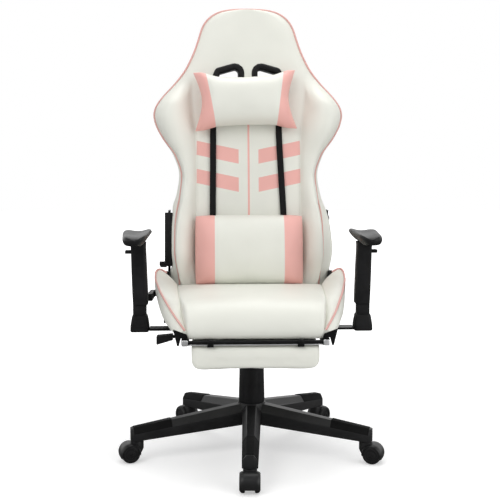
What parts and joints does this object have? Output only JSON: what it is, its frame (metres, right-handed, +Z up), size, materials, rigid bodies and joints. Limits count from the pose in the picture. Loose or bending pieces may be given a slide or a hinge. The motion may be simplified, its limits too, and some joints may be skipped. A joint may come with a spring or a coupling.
{
  "type": "gaming chair",
  "caption": "High-backed bucket gaming chair on a castered star base, with gas lift, tilt, reclining back, adjustable arms, pillows and a pull-out footrest.",
  "frame": {"origin": "on the floor, under the axis of the gas column", "axes": "+Z up; the sitter faces -Y; +X is the sitter's left"},
  "size_m": [0.7155, 0.7552, 1.241],
  "materials": {
    "white_leather": "satin",
    "black_nylon": "satin",
    "caster_wheel": "satin",
    "grip_rubber": "matte",
    "black_plastic": "satin",
    "arm_foam": "satin",
    "black_steel": "satin",
    "bright_steel": "satin",
    "black_webbing": "matte"
  },
  "bodies": {
    "base": {"base_star": "black_nylon", "foot_grips": "grip_rubber", "column_tube": "black_steel", "column_bush": "black_plastic", "column_cover_outer": "black_plastic"},
    "column_rod": {"piston_rod": "bright_steel", "thrust_bearing": "bright_steel", "column_clip": "bright_steel"},
    "cover_middle": {"column_cover_middle": "black_plastic"},
    "mechanism": {"gas_cylinder": "bright_steel", "column_cover_inner": "black_plastic", "mechanism_housing": "black_steel", "tilt_pin": "bright_steel", "tilt_spring": "bright_steel"},
    "knob": {"tension_knob": "black_plastic"},
    "lift_lever": {"lift_lever_rod": "black_steel", "lift_lever_paddle": "black_plastic"},
    "seat": {"seat_plate": "black_steel", "seat_bolts": "bright_steel", "seat_frame": "black_steel", "seat_webbing": "black_webbing", "seat_cushion": "white_leather", "seat_bolsters": "white_leather", "arm_brackets": "black_steel", "arm_posts": "black_steel", "hinge_plates": "black_steel", "hinge_pins": "bright_steel", "footrest_guides": "black_steel"},
    "recline_handle": {"recline_lever": "black_plastic"},
    "back": {"backrest_pad": "white_leather", "back_frame": "black_steel", "strap_hole_trims": "black_plastic", "head_pillow": "white_leather", "lumbar_pillow": "white_leather", "pillow_straps": "black_webbing", "back_brackets": "black_steel", "back_bolts": "bright_steel", "bracket_cover": "black_plastic"},
    "arm_left": {"arm_sleeve_left": "black_plastic", "arm_pad_left": "arm_foam"},
    "arm_right": {"arm_sleeve_right": "black_plastic", "arm_pad_right": "arm_foam"},
    "trigger_left": {"arm_trigger_left": "black_plastic"},
    "trigger_right": {"arm_trigger_right": "black_plastic"},
    "footrest_slide": {"footrest_rails": "black_steel", "footrest_bar": "black_steel"},
    "footrest": {"footrest_pad": "white_leather", "footrest_hinges": "black_steel"},
    "caster_1": {"caster_1_hood": "black_nylon"},
    "wheels_1": {"caster_1_wheels": "caster_wheel"},
    "caster_2": {"caster_2_hood": "black_nylon"},
    "wheels_2": {"caster_2_wheels": "caster_wheel"},
    "caster_3": {"caster_3_hood": "black_nylon"},
    "wheels_3": {"caster_3_wheels": "caster_wheel"},
    "caster_4": {"caster_4_hood": "black_nylon"},
    "wheels_4": {"caster_4_wheels": "caster_wheel"},
    "caster_5": {"caster_5_hood": "black_nylon"},
    "wheels_5": {"caster_5_wheels": "caster_wheel"}
  },
  "joints": [
    {"name": "seat_swivel", "type": "hinge", "parent": "base", "child": "column_rod", "pos_m": [0, 0, 0.1], "axis": [0, 0, 1], "continuous": true},
    {"name": "seat_lift", "type": "slide", "parent": "column_rod", "child": "mechanism", "axis": [0, 0, 1], "range_m": [0, 0.09]},
    {"name": "cover_slide", "type": "slide", "parent": "base", "child": "cover_middle", "axis": [0, 0, 1], "range_m": [0, 0.045]},
    {"name": "tension_turn", "type": "hinge", "parent": "mechanism", "child": "knob", "pos_m": [0, -0.074, 0.29], "axis": [0, 0, 1], "continuous": true},
    {"name": "lift_lever_pull", "type": "hinge", "parent": "mechanism", "child": "lift_lever", "pos_m": [-0.046, -0.06, 0.331], "axis": [0, 1, 0], "range_deg": [0, 4], "stiffness_Nm_per_rad": 4, "springref_deg": -2.86},
    {"name": "seat_tilt", "type": "hinge", "parent": "mechanism", "child": "seat", "pos_m": [0, -0.045, 0.348], "axis": [-1, 0, 0], "range_deg": [0, 10], "stiffness_Nm_per_rad": 220, "springref_deg": -14.32, "deforming": ["tilt_spring"]},
    {"name": "back_recline", "type": "hinge", "parent": "seat", "child": "back", "pos_m": [0, 0.2, 0.44], "axis": [-1, 0, 0], "range_deg": [0, 55]},
    {"name": "recline_pull", "type": "hinge", "parent": "seat", "child": "recline_handle", "pos_m": [-0.26, 0.206, 0.408], "axis": [-1, 0, 0], "range_deg": [0, 15], "stiffness_Nm_per_rad": 0.6, "springref_deg": -14.32},
    {"name": "footrest_pull", "type": "slide", "parent": "seat", "child": "footrest_slide", "axis": [0, -1, 0], "range_m": [0, 0.22]},
    {"name": "footrest_flip", "type": "hinge", "parent": "footrest_slide", "child": "footrest", "pos_m": [0, -0.266, 0.3555], "axis": [-1, 0, 0], "range_deg": [0, 180]},
    {"name": "arm_left_height", "type": "slide", "parent": "seat", "child": "arm_left", "axis": [0, 0, 1], "range_m": [-0.025, 0.045]},
    {"name": "trigger_left_squeeze", "type": "slide", "parent": "arm_left", "child": "trigger_left", "axis": [0, 0, 1], "range_m": [0, 0.004], "stiffness_N_per_m": 400, "springref_m": -0.002},
    {"name": "arm_right_height", "type": "slide", "parent": "seat", "child": "arm_right", "axis": [0, 0, 1], "range_m": [-0.025, 0.045]},
    {"name": "trigger_right_squeeze", "type": "slide", "parent": "arm_right", "child": "trigger_right", "axis": [0, 0, 1], "range_m": [0, 0.004], "stiffness_N_per_m": 400, "springref_m": -0.002},
    {"name": "caster_1_swivel", "type": "hinge", "parent": "base", "child": "caster_1", "pos_m": [-0.01619, -0.31959, 0.05], "axis": [0, 0, 1], "continuous": true},
    {"name": "caster_1_roll", "type": "hinge", "parent": "caster_1", "child": "wheels_1", "pos_m": [-0.0172, -0.33957, 0.025], "axis": [0.9987, -0.0506, 0], "continuous": true},
    {"name": "caster_2_swivel", "type": "hinge", "parent": "base", "child": "caster_2", "pos_m": [0.29895, -0.11416, 0.05], "axis": [0, 0, 1], "continuous": true},
    {"name": "caster_2_roll", "type": "hinge", "parent": "caster_2", "child": "wheels_2", "pos_m": [0.31763, -0.12129, 0.025], "axis": [0.3567, 0.9342, 0], "continuous": true},
    {"name": "caster_3_swivel", "type": "hinge", "parent": "base", "child": "caster_3", "pos_m": [0.20095, 0.24904, 0.05], "axis": [0, 0, 1], "continuous": true},
    {"name": "caster_3_roll", "type": "hinge", "parent": "caster_3", "child": "wheels_3", "pos_m": [0.21351, 0.2646, 0.025], "axis": [-0.7782, 0.628, 0], "continuous": true},
    {"name": "caster_4_swivel", "type": "hinge", "parent": "base", "child": "caster_4", "pos_m": [-0.17475, 0.26807, 0.05], "axis": [0, 0, 1], "continuous": true},
    {"name": "caster_4_roll", "type": "hinge", "parent": "caster_4", "child": "wheels_4", "pos_m": [-0.18568, 0.28482, 0.025], "axis": [-0.8377, -0.5461, 0], "continuous": true},
    {"name": "caster_5_swivel", "type": "hinge", "parent": "base", "child": "caster_5", "pos_m": [-0.30895, -0.08336, 0.05], "axis": [0, 0, 1], "continuous": true},
    {"name": "caster_5_roll", "type": "hinge", "parent": "caster_5", "child": "wheels_5", "pos_m": [-0.32826, -0.08857, 0.025], "axis": [0.2605, -0.9655, 0], "continuous": true}
  ],
  "couplings": [
    {"joint": "cover_slide", "follows": "seat_lift", "ratio": 0.5}
  ]
}
